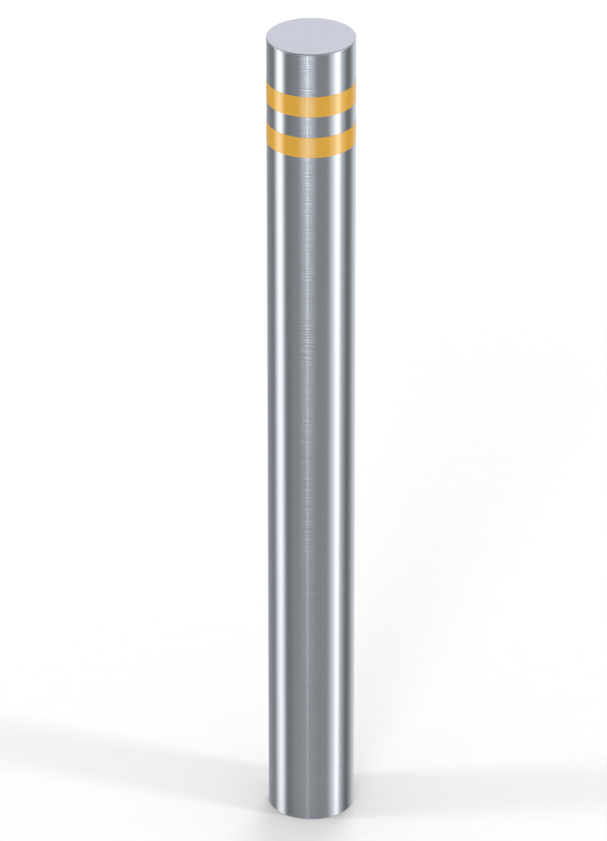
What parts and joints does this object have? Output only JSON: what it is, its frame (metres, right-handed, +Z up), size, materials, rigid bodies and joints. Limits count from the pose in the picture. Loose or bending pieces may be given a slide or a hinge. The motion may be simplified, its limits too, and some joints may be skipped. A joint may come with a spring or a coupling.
{
  "type": "safety bollard",
  "caption": "Round brushed stainless steel safety bollard with a flat welded cap and amber reflective bands, clamped on a concealed floor-bolted spigot.",
  "frame": {"origin": "on the bollard's axis at floor level, in the plane of the post's foot and of the foot gasket's underside", "axes": "+Z up along the post, -Y towards the front, +Y towards the rear side with the two set screws"},
  "size_m": [0.1022, 0.1022, 1.0656],
  "materials": {
    "post_steel": "brushed round the tube, fine even lines, satin sheen",
    "cap_steel": "finely satin ground, softer than the wall",
    "seam_weld_steel": "ground flush and brushed",
    "reflective_film": "amber-yellow reflective film with a fine cell pattern",
    "pad_steel": "sawn and milled",
    "ring_plastic": "moulded, fine grain",
    "set_screw_steel": "bright turned",
    "plate_steel": "hot-dip galvanised",
    "spigot_steel": "hot-dip galvanised, drawn tube",
    "spigot_weld_steel": "galvanised weld bead with fine ripples",
    "gasket_rubber": "moulded rubber, matt",
    "anchor_zinc": "zinc plated",
    "clip_steel": "stainless spring strip",
    "washer_zinc": "zinc plated",
    "nut_zinc": "zinc plated"
  },
  "bodies": {
    "base": {"foot_gasket": "gasket_rubber", "base_plate": "plate_steel", "spigot_tube": "spigot_steel", "spigot_weld": "spigot_weld_steel", "anchor_bolts": "anchor_zinc", "anchor_expansion_clips": "clip_steel", "anchor_washers": "washer_zinc", "anchor_nuts": "nut_zinc"},
    "post": {"post_tube": "post_steel", "top_cap": "cap_steel", "cap_seam_weld": "seam_weld_steel", "upper_reflective_band": "reflective_film", "lower_reflective_band": "reflective_film", "tapped_pads": "pad_steel", "lower_centring_ring": "ring_plastic", "upper_centring_ring": "ring_plastic"},
    "left_screw": {"set_screw_left": "set_screw_steel"},
    "right_screw": {"set_screw_right": "set_screw_steel"}
  },
  "joints": [
    {"name": "post_lift", "type": "slide", "parent": "base", "child": "post", "axis": [0, 0, 1], "range_m": [0, 0.25]},
    {"name": "set_screw_left_travel", "type": "slide", "parent": "post", "child": "left_screw", "axis": [-0.6428, 0.766, 0], "range_m": [0, 0.006]},
    {"name": "set_screw_right_travel", "type": "slide", "parent": "post", "child": "right_screw", "axis": [0.6428, 0.766, 0], "range_m": [0, 0.006]}
  ]
}
